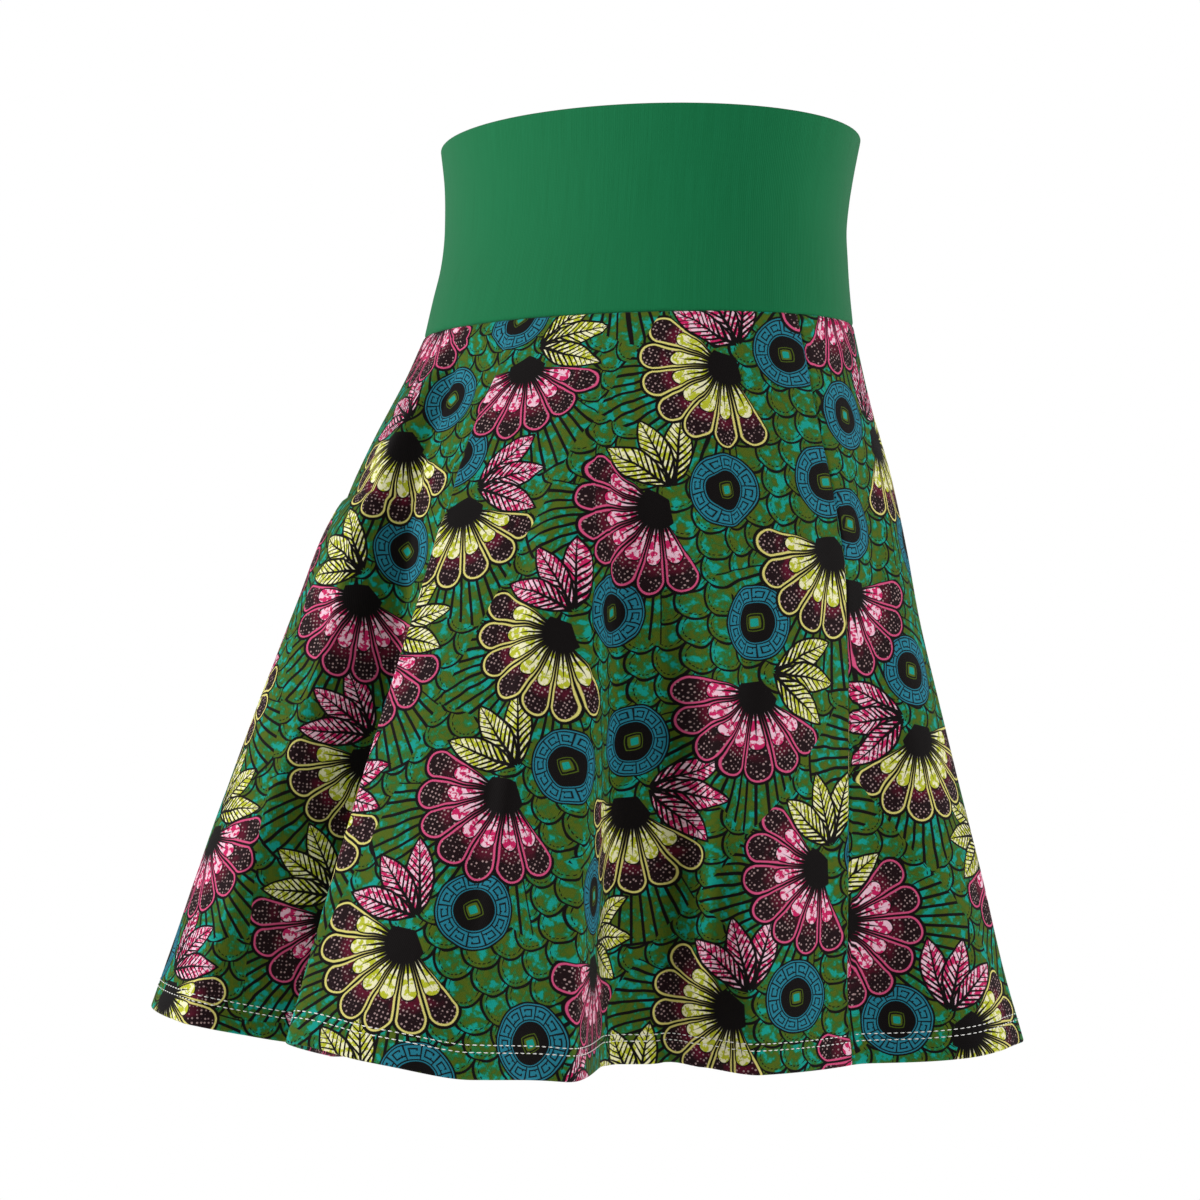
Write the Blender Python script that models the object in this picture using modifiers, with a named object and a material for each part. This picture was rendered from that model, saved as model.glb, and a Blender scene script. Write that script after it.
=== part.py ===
"""Circle skirt with a wide knit waistband, worn or held open at the waist.

The skirt is two flared panels, back and front, sewn at the sides. The waistband is one strip, folded
at the top and joined at one side. Each piece starts as a flat grid of cloth. Every point of the grid is
then moved to its place on the garment, and the grid is thickened inwards to the wall.

Metres, +Z up, +Y to the wearer's back. The origin is the centre of the narrowest ring of the waist.
Azimuths are in degrees round +Z: 0 is the middle of the back, 90 the wearer's right side at -X, and 180
the middle of the front.
"""

from collections import namedtuple

import bmesh
import bpy
import numpy as np

COLLECTION = "circle_skirt"

# ---- driving dimensions ----
WAISTBAND_TOP = 0.0502  # height of the waistband's top fold above the narrowest ring
WAIST_SEAM = -0.0512  # height of the seam between waistband and skirt
CLOTH_LENGTH = 0.384  # from the waist seam down the cloth to the hem
LEVEL_HEM = -0.4133  # height the hem would have if it were trimmed level
HEM_LEVELLED = 0.42  # how far it is trimmed: 0 hangs free, 1 is level
HEM_TURN_UP = 0.018  # cloth turned up inside the hem and stitched
SKIRT_WALL = 0.0012  # one layer of printed knit
WAISTBAND_WALL = 0.0022  # two layers of plain knit
SEAM_GAP = 0.0003  # kept between neighbouring pieces
TOP_TILT = 0.050  # rise of the top fold towards the back, per metre

# ---- how finely the cloth is divided ----
WAISTBAND_COLUMNS = 72
WAISTBAND_ROWS = 8
PANEL_COLUMNS = 74
PANEL_ROWS = 15
FINE_STEPS = 192  # steps down the cloth along which its fall is added up
FINE_AZIMUTHS = 721  # azimuths at which the hem is measured

WaistRing = namedtuple("WaistRing", "height centre_y half_x half_y")
WAIST_RINGS = (
    WaistRing(-0.0512, 0.0050, 0.1333, 0.1003),
    WaistRing(-0.030, 0.0030, 0.1300, 0.0968),
    WaistRing(-0.015, 0.0010, 0.1275, 0.0948),
    WaistRing(0.000, 0.0000, 0.1262, 0.0935),
    WaistRing(0.015, -0.0012, 0.1268, 0.0938),
    WaistRing(0.030, -0.0025, 0.1285, 0.0948),
    WaistRing(0.0502, -0.0035, 0.1322, 0.0972),
)

# down: distance down the cloth from the waist seam. seam_azimuth: where the two side seams lie.
SkirtRing = namedtuple("SkirtRing", "down centre_y half_x half_y seam_azimuth")
SKIRT_RINGS = (
    SkirtRing(0.000, 0.0050, 0.1333, 0.1003, 87.5),
    SkirtRing(0.030, 0.0080, 0.1385, 0.1130, 90.0),
    SkirtRing(0.060, 0.0115, 0.1450, 0.1265, 92.0),
    SkirtRing(0.090, 0.0148, 0.1518, 0.1382, 94.0),
    SkirtRing(0.120, 0.0175, 0.1575, 0.1475, 95.5),
    SkirtRing(0.160, 0.0200, 0.1640, 0.1560, 97.0),
    SkirtRing(0.200, 0.0215, 0.1710, 0.1670, 97.5),
    SkirtRing(0.250, 0.0230, 0.1795, 0.1815, 97.5),
    SkirtRing(0.300, 0.0240, 0.1880, 0.1965, 97.0),
    SkirtRing(0.350, 0.0250, 0.1960, 0.2110, 96.8),
    SkirtRing(0.384, 0.0250, 0.2030, 0.2215, 97.0),
)

# A fold runs down the cloth between two walls, each half as wide as its soft value in degrees. out is how
# far the hem stands out there, or in where negative, and begins is how far down the cloth it starts. Each
# wall leans on the way down: by the hem it has turned its lean in degrees from first or last.
Fold = namedtuple("Fold", "name first first_soft last last_soft out begins power first_lean last_lean")
FOLDS = (
    Fold("left_back_lobe", -55.3, 13.6, -12.0, 2.0, 0.024, 0.10, 0.62, 0.0, 0.0),
    Fold("back_hollow", -20.8, 10.7, 9.1, 14.2, -0.017, 0.07, 1.00, 0.0, 0.0),
    Fold("back_fold", -13.3, 2.8, 11.5, 2.9, -0.049, 0.01, 0.60, -0.9, 2.1),
    Fold("right_back_lobe", 4.6, 6.2, 42.8, 8.3, 0.045, 0.11, 0.92, 1.0, -6.5),
    Fold("right_back_ridge", 35.4, 2.0, 44.4, 5.9, 0.012, 0.02, 1.00, 0.0, 0.0),
    Fold("deep_fold", 50.5, 2.0, 61.7, 3.7, -0.052, 0.08, 0.86, -2.8, 4.1),
    Fold("deep_fold_spread", 49.0, 3.7, 69.4, 3.9, -0.027, 0.19, 1.06, 0.0, 2.8),
    Fold("right_side_hollow", 66.0, 4.0, 101.8, 5.9, -0.036, 0.13, 1.00, 0.0, 1.9),
    Fold("right_front_lobe", 108.1, 6.4, 128.2, 9.1, 0.017, 0.05, 0.90, 0.0, 0.0),
    Fold("right_front_fold", 126.0, 6.0, 141.0, 7.0, -0.045, 0.08, 1.10, 0.0, 0.0),
    Fold("front_lobe", 146.0, 8.0, 166.0, 7.0, 0.013, 0.10, 1.10, 0.0, 0.0),
    Fold("front_fold", 168.0, 6.0, 181.0, 4.0, -0.055, 0.05, 1.10, 0.0, 0.0),
    Fold("front_hollow", 208.0, 8.0, 226.0, 8.0, -0.035, 0.12, 1.00, 0.0, 0.0),
    Fold("left_front_lobe", 228.0, 8.0, 252.0, 6.0, 0.018, 0.08, 1.00, 0.0, 0.0),
    Fold("left_side_fold", 253.0, 5.0, 263.0, 7.0, -0.050, 0.10, 1.10, 0.0, 0.0),
    Fold("left_back_fold", 289.0, 7.0, 303.0, 6.0, -0.040, 0.12, 1.00, 0.0, 0.0),
)


def curve_through(rows, where, column):
    """Value at `where` of the smooth curve through one column of a table, over its first column."""
    knots = np.array([row[0] for row in rows])
    values = np.array([getattr(row, column) for row in rows])
    slopes = np.gradient(values, knots)
    where = np.clip(where, knots[0], knots[-1])
    i = np.clip(np.searchsorted(knots, where) - 1, 0, len(knots) - 2)
    step = knots[i + 1] - knots[i]
    t = (where - knots[i]) / step
    rise = (values[i + 1] - values[i]) * t * t * (3 - 2 * t)
    bulge = t * (1 - t) * step * (slopes[i] * (1 - t) - slopes[i + 1] * t)
    return values[i] + rise + bulge


def ease_in(x):
    """0 below -1, 1 above 1, and a soft S between."""
    return 0.5 + 0.5 * np.sin(0.5 * np.pi * np.clip(x, -1, 1))


def fold_offset(azimuth, down):
    """How far the folds push the cloth out at this azimuth and this far down it."""
    total = np.zeros(np.broadcast(azimuth, down).shape)
    deep = down / CLOTH_LENGTH
    for fold in FOLDS:
        middle = 0.5 * (fold.first + fold.last)
        turn = (azimuth - middle + 180) % 360 - 180 + middle
        opening = ease_in((turn - fold.first - fold.first_lean * deep) / fold.first_soft)
        closing = 1 - ease_in((turn - fold.last - fold.last_lean * deep) / fold.last_soft)
        grown = np.clip((down - fold.begins) / (CLOTH_LENGTH - fold.begins), 0, None)
        total = total + fold.out * grown**fold.power * opening * closing
    return total


def ellipse_point(azimuth, centre_y, half_x, half_y, out):
    """X and Y on an ellipse about (0, centre_y), moved out along the azimuth."""
    across, back = np.sin(np.radians(azimuth)), np.cos(np.radians(azimuth))
    radius = 1 / np.sqrt((across / half_x) ** 2 + (back / half_y) ** 2) + out
    return -radius * across, centre_y + radius * back


def skirt_section(azimuth, down):
    """X and Y of the skirt's outer face at this azimuth and this far down the cloth."""
    centre_y, half_x, half_y = (
        curve_through(SKIRT_RINGS, down, column) for column in ("centre_y", "half_x", "half_y")
    )
    return ellipse_point(azimuth, centre_y, half_x, half_y, fold_offset(azimuth, down))


def even_shares(first, last, columns):
    """Shares of the way round from one side seam to the other, evenly spaced along the hem's cloth."""
    azimuth = np.linspace(first, last, FINE_AZIMUTHS)
    x, y = skirt_section(azimuth, CLOTH_LENGTH)
    along = np.concatenate([[0], np.cumsum(np.hypot(np.diff(x), np.diff(y)))])
    wanted = np.linspace(0, along[-1], columns + 1)
    return (np.interp(wanted, along, azimuth) - first) / (last - first)


def panel_points(is_back, columns, downs):
    """Outer face of a panel: an array of rows, from the waist seam to the hem, of columns of points."""
    steps = np.linspace(SEAM_GAP / 2, CLOTH_LENGTH, FINE_STEPS + 1)
    seam = curve_through(SKIRT_RINGS, steps, "seam_azimuth")
    half_gap = np.degrees(SEAM_GAP / 2 / curve_through(SKIRT_RINGS, steps, "half_x"))
    first = (-seam if is_back else seam) + half_gap
    last = (seam if is_back else 360 - seam) - half_gap
    shares = even_shares(first[-1], last[-1], columns)
    azimuth = first[:, None] + (last - first)[:, None] * shares[None, :]
    x, y = skirt_section(azimuth, steps[:, None])

    # The cloth keeps its length, so what it doesn't move sideways it falls.
    sideways = np.hypot(np.diff(x, axis=0), np.diff(y, axis=0))
    falls = np.sqrt(np.clip(np.diff(steps)[:, None] ** 2 - sideways**2, 0, None))
    fall = np.concatenate([np.zeros((1, columns + 1)), np.cumsum(falls, axis=0)])
    top = WAIST_SEAM - SEAM_GAP / 2
    hem = HEM_LEVELLED * LEVEL_HEM + (1 - HEM_LEVELLED) * (top - fall[-1])
    z = top - fall * (top - hem) / fall[-1]

    chosen = np.rint((np.array(downs) - steps[0]) / (steps[-1] - steps[0]) * FINE_STEPS).astype(int)
    return np.stack([x[chosen], y[chosen], z[chosen]], axis=-1)


def waistband_points(columns, rows):
    """Outer face of the waistband, from the top fold down to the waist seam, once round from its own seam."""
    heights = np.linspace(WAISTBAND_TOP, WAIST_SEAM + SEAM_GAP / 2, rows + 1)[:, None]
    half_gap = np.degrees(SEAM_GAP / 2 / WAIST_RINGS[0].half_x)
    azimuth = np.linspace(-90 + half_gap, 270 - half_gap, columns + 1)[None, :]
    centre_y, half_x, half_y = (
        curve_through(WAIST_RINGS, heights, column) for column in ("centre_y", "half_x", "half_y")
    )
    x, y = ellipse_point(azimuth, centre_y, half_x, half_y, 0)
    risen = (heights - WAIST_SEAM) / (WAISTBAND_TOP - WAIST_SEAM)
    z = heights + TOP_TILT * risen * (y - centre_y)
    return np.stack([x, y, z], axis=-1)


def cloth_material(name, colour, roughness):
    """A matt Principled material for one piece."""
    material = bpy.data.materials.new(name)
    material.use_nodes = True
    shader = material.node_tree.nodes["Principled BSDF"]
    shader.inputs["Base Color"].default_value = (*colour, 1)
    shader.inputs["Roughness"].default_value = roughness
    shader.inputs["Metallic"].default_value = 0
    return material


def cloth_piece(name, points, layers, wall, material):
    """A flat grid laid onto the points, thickened inwards. layers gives the share of the wall on each row."""
    rows, columns = points.shape[0] - 1, points.shape[1] - 1
    grid = bmesh.new()
    bmesh.ops.create_grid(grid, x_segments=columns, y_segments=rows, size=1)
    mesh = bpy.data.meshes.new(name)
    weights = []
    for vertex in grid.verts:
        column = round((vertex.co.x + 1) / 2 * columns)
        row = round((1 - vertex.co.y) / 2 * rows)
        vertex.co = points[row, column]
        weights.append(layers[row])
    grid.to_mesh(mesh)
    grid.free()
    mesh.shade_smooth()
    mesh.materials.append(material)

    piece = bpy.data.objects.new(name, mesh)
    bpy.data.collections[COLLECTION].objects.link(piece)
    piece.parent = bpy.data.objects["waist_centre"]
    group = piece.vertex_groups.new(name="layers")
    for index, weight in enumerate(weights):
        group.add([index], weight, "REPLACE")
    thicken = piece.modifiers.new("wall", "SOLIDIFY")
    thicken.thickness = wall
    thicken.offset = -1
    thicken.use_even_offset = True
    thicken.vertex_group = group.name
    return piece


def clear_scene():
    for thing in list(bpy.data.objects):
        bpy.data.objects.remove(thing, do_unlink=True)


def build_waistband():
    """One strip, double from the top fold down, joined at the +X side."""
    knit = cloth_material("waistband_knit", (0.008, 0.150, 0.050), 0.75)
    points = waistband_points(WAISTBAND_COLUMNS, WAISTBAND_ROWS)
    cloth_piece("waistband", points, [1] * (WAISTBAND_ROWS + 1), WAISTBAND_WALL, knit)


def build_panels():
    """The back and front panels, single cloth with the hem turned up double."""
    turn_up = CLOTH_LENGTH - HEM_TURN_UP
    single_rows = np.linspace(SEAM_GAP / 2, turn_up - 0.002, PANEL_ROWS)
    downs = [*single_rows, turn_up, CLOTH_LENGTH - 0.008, CLOTH_LENGTH]
    layers = [0.5] * PANEL_ROWS + [1, 1, 1]
    for name, is_back in (("skirt_back", True), ("skirt_front", False)):
        knit = cloth_material(f"{name}_print", (0.036, 0.066, 0.034), 0.7)
        points = panel_points(is_back, PANEL_COLUMNS, downs)
        cloth_piece(name, points, layers, 2 * SKIRT_WALL, knit)


def main():
    clear_scene()
    collection = bpy.data.collections.new(COLLECTION)
    bpy.context.scene.collection.children.link(collection)
    collection.objects.link(bpy.data.objects.new("waist_centre", None))
    build_waistband()
    build_panels()


main()
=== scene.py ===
# %% [markdown]
# # A circle skirt with a wide knit waistband
# The skirt is two flared panels of printed knit, back and front, under a doubled band of plain green knit.
# The packed CAD model gives the size and place of everything. Each of its three cloth solids is replaced
# here by a finer shell of the same form, cut, folded and stitched as a sewing workshop would do it.

# %% Load the frame
from collections import namedtuple
from math import atan2, cos, pi, radians, sin

import bmesh
import bpy
import numpy as np
from mathutils import Matrix, Vector


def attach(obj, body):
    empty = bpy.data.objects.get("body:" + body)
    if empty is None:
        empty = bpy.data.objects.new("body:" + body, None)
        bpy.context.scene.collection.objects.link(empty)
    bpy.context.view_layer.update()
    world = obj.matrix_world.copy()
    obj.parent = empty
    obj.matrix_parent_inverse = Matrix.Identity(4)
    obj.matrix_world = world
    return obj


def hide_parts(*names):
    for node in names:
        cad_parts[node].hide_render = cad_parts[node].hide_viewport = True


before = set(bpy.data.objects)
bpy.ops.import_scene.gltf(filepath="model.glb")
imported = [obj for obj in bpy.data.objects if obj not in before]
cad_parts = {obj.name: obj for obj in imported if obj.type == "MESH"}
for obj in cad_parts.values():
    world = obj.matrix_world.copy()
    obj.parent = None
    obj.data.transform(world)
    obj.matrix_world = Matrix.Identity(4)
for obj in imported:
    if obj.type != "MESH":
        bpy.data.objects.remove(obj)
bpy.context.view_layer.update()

# %% [markdown]
# ## The form on the wearer
# Cloth that hangs from a waist is a ring at the top and a wavy ring at the hem. The waistband is a stack
# of plain ellipses. The skirt is a stack of ellipses too, each pushed in and out by the folds. Azimuths
# run in degrees round +Z: 0 is the middle of the back, 90 the wearer's right side, 180 the front.
# The tables hold the same sizes as the CAD model, so that the shells lie on its solids. Each fold has two
# soft sides, first and last, in degrees, and each side may lean by a few degrees on its way to the hem.

# %% Driving dimensions
WAISTBAND_TOP = 0.0502
WAIST_SEAM = -0.0512
CLOTH_LENGTH = 0.384
LEVEL_HEM = -0.4133
HEM_LEVELLED = 0.42
HEM_TURN_UP = 0.018
TOP_TILT = 0.050

WaistRing = namedtuple("WaistRing", "height centre_y half_x half_y")
WAIST_RINGS = (
    WaistRing(-0.0512, 0.0050, 0.1333, 0.1003),
    WaistRing(-0.030, 0.0030, 0.1300, 0.0968),
    WaistRing(-0.015, 0.0010, 0.1275, 0.0948),
    WaistRing(0.000, 0.0000, 0.1262, 0.0935),
    WaistRing(0.015, -0.0012, 0.1268, 0.0938),
    WaistRing(0.030, -0.0025, 0.1285, 0.0948),
    WaistRing(0.0502, -0.0035, 0.1322, 0.0972),
)
NARROWEST = min(WAIST_RINGS, key=lambda ring: ring.half_x)

SkirtRing = namedtuple("SkirtRing", "down centre_y half_x half_y seam_azimuth")
SKIRT_RINGS = (
    SkirtRing(0.000, 0.0050, 0.1333, 0.1003, 87.5),
    SkirtRing(0.030, 0.0080, 0.1385, 0.1130, 90.0),
    SkirtRing(0.060, 0.0115, 0.1450, 0.1265, 92.0),
    SkirtRing(0.090, 0.0148, 0.1518, 0.1382, 94.0),
    SkirtRing(0.120, 0.0175, 0.1575, 0.1475, 95.5),
    SkirtRing(0.160, 0.0200, 0.1640, 0.1560, 97.0),
    SkirtRing(0.200, 0.0215, 0.1710, 0.1670, 97.5),
    SkirtRing(0.250, 0.0230, 0.1795, 0.1815, 97.5),
    SkirtRing(0.300, 0.0240, 0.1880, 0.1965, 97.0),
    SkirtRing(0.350, 0.0250, 0.1960, 0.2110, 96.8),
    SkirtRing(0.384, 0.0250, 0.2030, 0.2215, 97.0),
)

FOLD_COLUMNS = "name first first_soft last last_soft out begins power first_lean last_lean"
Fold = namedtuple("Fold", FOLD_COLUMNS, defaults=(0.0, 0.0))
FOLDS = (
    Fold("left_back_lobe", -55.3, 13.6, -12.0, 2.0, 0.024, 0.10, 0.62),
    Fold("back_hollow", -20.8, 10.7, 9.1, 14.2, -0.017, 0.07, 1.00),
    Fold("back_fold", -13.3, 2.8, 11.5, 2.9, -0.049, 0.01, 0.60, -0.9, 2.1),
    Fold("right_back_lobe", 4.6, 6.2, 42.8, 8.3, 0.045, 0.11, 0.92, 1.0, -6.5),
    Fold("right_back_ridge", 35.4, 2.0, 44.4, 5.9, 0.012, 0.02, 1.00),
    Fold("deep_fold", 50.5, 2.0, 61.7, 3.7, -0.052, 0.08, 0.86, -2.8, 4.1),
    Fold("deep_fold_spread", 49.0, 3.7, 69.4, 3.9, -0.027, 0.19, 1.06, 0.0, 2.8),
    Fold("right_side_hollow", 66.0, 4.0, 101.8, 5.9, -0.036, 0.13, 1.00, 0.0, 1.9),
    Fold("right_front_lobe", 108.1, 6.4, 128.2, 9.1, 0.017, 0.05, 0.90),
    Fold("right_front_fold", 126.0, 6.0, 141.0, 7.0, -0.045, 0.08, 1.10),
    Fold("front_lobe", 146.0, 8.0, 166.0, 7.0, 0.013, 0.10, 1.10),
    Fold("front_fold", 168.0, 6.0, 181.0, 4.0, -0.055, 0.05, 1.10),
    Fold("front_hollow", 208.0, 8.0, 226.0, 8.0, -0.035, 0.12, 1.00),
    Fold("left_front_lobe", 228.0, 8.0, 252.0, 6.0, 0.018, 0.08, 1.00),
    Fold("left_side_fold", 253.0, 5.0, 263.0, 7.0, -0.050, 0.10, 1.10),
    Fold("left_back_fold", 289.0, 7.0, 303.0, 6.0, -0.040, 0.12, 1.00),
)
print(len(FOLDS), "main folds and lobes; the waist is narrowest at height", NARROWEST.height)

# %% [markdown]
# ## Small creases
# Between the main folds a worn knit shows slight ones: short drag lines below the waist seam, long shallow
# troughs that lean as the cloth swings, and a ridge where a fold starts. Each is a row of the first table.
# `wide` is in degrees, and `out` is the height of the ridge in metres, or the depth of the trough where it
# is negative. Nor is a hem quite level, once the cloth has hung: each row of the second table lifts it, or
# drops it, by a few millimetres.

# %% Tables of creases and hem lifts
Crease = namedtuple("Crease", "azimuth lean wide top bottom out")
CREASES = (
    Crease(6.5, -2.5, 3.2, 0.000, 0.130, 0.0014),
    Crease(-30, 5, 5.0, 0.020, 0.210, -0.0014),
    Crease(-17, 1, 4.0, 0.060, 0.380, -0.0080),
    Crease(-44, -4, 4.0, 0.120, 0.384, 0.0016),
    Crease(-70, 4, 5.0, 0.010, 0.180, -0.0012),
    Crease(18, 3, 3.0, 0.150, 0.384, -0.0018),
    Crease(29, -3, 4.0, 0.030, 0.250, 0.0012),
    Crease(39, 1, 3.0, 0.200, 0.384, -0.0018),
    Crease(45.4, 0.5, 2.3, 0.060, 0.384, 0.0020),
    Crease(57, 2, 3.0, 0.020, 0.160, -0.0012),
    Crease(76, -3, 3.0, 0.090, 0.330, -0.0022),
    Crease(84, 5, 2.5, 0.070, 0.200, 0.0014),
    Crease(93, 2, 2.5, 0.150, 0.300, -0.0010),
    Crease(108, -4, 4.0, 0.030, 0.260, -0.0014),
    Crease(118, 3, 3.5, 0.180, 0.384, 0.0016),
    Crease(150, -4, 4.0, 0.010, 0.170, -0.0014),
    Crease(160, 3, 3.5, 0.160, 0.384, 0.0014),
    Crease(191, 4, 4.5, 0.000, 0.240, 0.0013),
    Crease(204, -5, 4.0, 0.120, 0.384, -0.0018),
    Crease(236, 3, 3.5, 0.030, 0.220, -0.0014),
    Crease(244, -3, 3.0, 0.210, 0.384, 0.0015),
    Crease(272, 4, 4.0, 0.040, 0.300, -0.0014),
    Crease(281, -2, 3.0, 0.180, 0.384, 0.0015),
)

HemLift = namedtuple("HemLift", "azimuth wide up")
HEM_LIFTS = (
    HemLift(-9, 4.5, -0.0022),
    HemLift(17, 5.5, 0.0038),
    HemLift(35, 6.0, -0.0031),
    HemLift(116, 8.0, 0.0013),
    HemLift(158, 7.0, 0.0026),
    HemLift(240, 7.0, 0.0030),
    HemLift(300, 8.0, -0.0024),
)
print(len(CREASES), "small creases and", len(HEM_LIFTS), "lifts of the hem")

# %% [markdown]
# ## From tables to points
# A curve through a table's rows gives its value at any height. Each point of the skirt is then an ellipse
# point pushed out by the folds. Cloth keeps its length: a step down the cloth that goes partly sideways
# falls less, so the heights are the sum of the falls. The hem is trimmed part of the way to level.

# %% Curves through a table
def curve_through(rows, where, column):
    """Value at `where` of the smooth curve through one column of a table, over its first column."""
    knots = np.array([row[0] for row in rows])
    values = np.array([getattr(row, column) for row in rows])
    slopes = np.gradient(values, knots)
    where = np.clip(where, knots[0], knots[-1])
    i = np.clip(np.searchsorted(knots, where) - 1, 0, len(knots) - 2)
    step = knots[i + 1] - knots[i]
    t = (where - knots[i]) / step
    rise = (values[i + 1] - values[i]) * t * t * (3 - 2 * t)
    bulge = t * (1 - t) * step * (slopes[i] * (1 - t) - slopes[i + 1] * t)
    return values[i] + rise + bulge


def ellipse_at(rows, where):
    """The middle and the half sizes of a table's ellipse at this place."""
    return [curve_through(rows, where, column) for column in ("centre_y", "half_x", "half_y")]


print("Half the skirt's width 0.2 m down:", round(float(curve_through(SKIRT_RINGS, 0.2, "half_x")), 4))

# %% Folds, creases and the hem's lifts
CREASE_FADE = 1.5


def ease_in(x):
    """0 below -1, 1 above 1, and a soft S between."""
    return 0.5 + 0.5 * np.sin(0.5 * np.pi * np.clip(x, -1, 1))


def fold_offset(azimuth, down):
    """How far the main folds push the cloth out at this azimuth and this far down it."""
    total = np.zeros(np.broadcast(azimuth, down).shape)
    deep = down / CLOTH_LENGTH
    for fold in FOLDS:
        middle = 0.5 * (fold.first + fold.last)
        turn = (azimuth - middle + 180) % 360 - 180 + middle
        opening = ease_in((turn - fold.first - fold.first_lean * deep) / fold.first_soft)
        closing = 1 - ease_in((turn - fold.last - fold.last_lean * deep) / fold.last_soft)
        grown = np.clip((down - fold.begins) / (CLOTH_LENGTH - fold.begins), 0, None)
        total = total + fold.out * grown**fold.power * opening * closing
    return total


def crease_offset(azimuth, down):
    """The same for the small creases, each a soft ridge or trough that fades out at both ends."""
    total = np.zeros(np.broadcast(azimuth, down).shape)
    for crease in CREASES:
        along = np.clip((down - crease.top) / (crease.bottom - crease.top), 0, 1)
        reaches_hem = crease.bottom >= CLOTH_LENGTH
        fade = np.sin(np.pi / 2 * along) if reaches_hem else np.sin(np.pi * along) ** CREASE_FADE
        turn = (azimuth - crease.azimuth - crease.lean * along + 180) % 360 - 180
        total = total + crease.out * fade * np.exp(-((turn / crease.wide) ** 2))
    return total


def hem_lift(azimuth):
    """How far the hem hangs above or below its trimmed height at this azimuth."""
    turns = [(azimuth - lift.azimuth + 180) % 360 - 180 for lift in HEM_LIFTS]
    return sum(lift.up * np.exp(-((turn / lift.wide) ** 2)) for lift, turn in zip(HEM_LIFTS, turns))


hem_offsets = fold_offset(np.arange(360), CLOTH_LENGTH)
print("At the hem the folds go from %.3f m in to %.3f m out" % (-hem_offsets.min(), hem_offsets.max()))

# %% Sections
def ellipse_point(azimuth, centre_y, half_x, half_y, out):
    """X and Y on an ellipse about (0, centre_y), moved out along the azimuth."""
    across, back = np.sin(np.radians(azimuth)), np.cos(np.radians(azimuth))
    radius = 1 / np.sqrt((across / half_x) ** 2 + (back / half_y) ** 2) + out
    return -radius * across, centre_y + radius * back


def skirt_section(azimuth, down):
    """X and Y of the skirt's outer face at this azimuth and this far down the cloth."""
    return ellipse_point(azimuth, *ellipse_at(SKIRT_RINGS, down), fold_offset(azimuth, down))


print("Hem section at the back:", *(round(float(c), 3) for c in skirt_section(0, CLOTH_LENGTH)))

# %% [markdown]
# ## The panels' outer faces
# A panel is a grid: columns run down the cloth from the waist seam to the hem, and rows run round it from
# one side seam to the other. The columns are evenly spaced along the hem's cloth, with a few close together
# at each seam, where the edge is about to roll inwards.

# %% Panel grids
FINE_STEPS = 384
FINE_AZIMUTHS = 1441
SEAM_ROLL = 0.0020
ROLL_SHARES = (0, 0.06, 0.2, 0.42, 0.7, 1.0)
PANEL_COLUMNS = {"skirt_back": 288, "skirt_front": 260}
BODY_ROWS = 96
HEM_ROWS = 20
HEM_ZONE = 0.024


def edge_and_middle(length, count, roll):
    """Distances from 0 to length: close together over the roll at each end, and even between."""
    edge = np.array(ROLL_SHARES) * roll
    middle = np.linspace(roll, length - roll, count)[1:-1]
    return np.concatenate([edge, middle, length - edge[::-1]])


def hem_azimuths(first, last, count):
    """Shares of the way round from seam to seam, for columns set by distances on the hem."""
    azimuth = np.linspace(first, last, FINE_AZIMUTHS)
    x, y = skirt_section(azimuth, CLOTH_LENGTH)
    along = np.concatenate([[0], np.cumsum(np.hypot(np.diff(x), np.diff(y)))])
    wanted = edge_and_middle(along[-1], count, SEAM_ROLL)
    return (np.interp(wanted, along, azimuth) - first) / (last - first)


def rows_at(table, position):
    """Rows of a table of points at fractional row numbers."""
    low = np.clip(np.floor(position).astype(int), 0, len(table) - 2)
    share = (np.asarray(position) - low)[:, None, None]
    return table[low] * (1 - share) + table[low + 1] * share


def panel_face(name):
    """The outer face of a panel as FINE_STEPS + 1 rows of points, from the waist seam to the hem."""
    steps = np.linspace(0, CLOTH_LENGTH, FINE_STEPS + 1)
    seam = curve_through(SKIRT_RINGS, steps, "seam_azimuth")
    is_back = name == "skirt_back"
    first = -seam if is_back else seam
    last = seam if is_back else 360 - seam
    shares = hem_azimuths(first[-1], last[-1], PANEL_COLUMNS[name])
    azimuth = first[:, None] + (last - first)[:, None] * shares[None, :]
    x, y = skirt_section(azimuth, steps[:, None])
    sideways = np.hypot(np.diff(x, axis=0), np.diff(y, axis=0))
    falls = np.sqrt(np.clip(np.diff(steps)[:, None] ** 2 - sideways**2, 0, None))
    fall = np.concatenate([np.zeros((1, len(shares))), np.cumsum(falls, axis=0)])
    hem = HEM_LEVELLED * LEVEL_HEM + (1 - HEM_LEVELLED) * (WAIST_SEAM - fall[-1]) + hem_lift(azimuth[-1])
    z = WAIST_SEAM - fall * (WAIST_SEAM - hem) / fall[-1]
    crease = crease_offset(azimuth, steps[:, None])
    x = x - crease * np.sin(np.radians(azimuth))
    y = y + crease * np.cos(np.radians(azimuth))
    return np.stack([x, y, z], axis=-1)


panel_faces = {name: panel_face(name) for name in PANEL_COLUMNS}
for name, face in panel_faces.items():
    around = np.linalg.norm(np.diff(face[-1], axis=0), axis=1).sum()
    print(name, "is", round(float(around), 3), "m round the hem")

# %% [markdown]
# ## Turning edges
# A raw edge never shows on a skirt. At each seam the cloth rolls inwards and meets its neighbour in a fine
# groove. At the hem it turns up inside and doubles back on itself. Both are worked out from the outward
# normals of the face, found by comparing neighbouring points.

# %% Normals, lengths and rolls
CLOTH = 0.0007
ROLL_DEPTH = 0.0016


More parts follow.
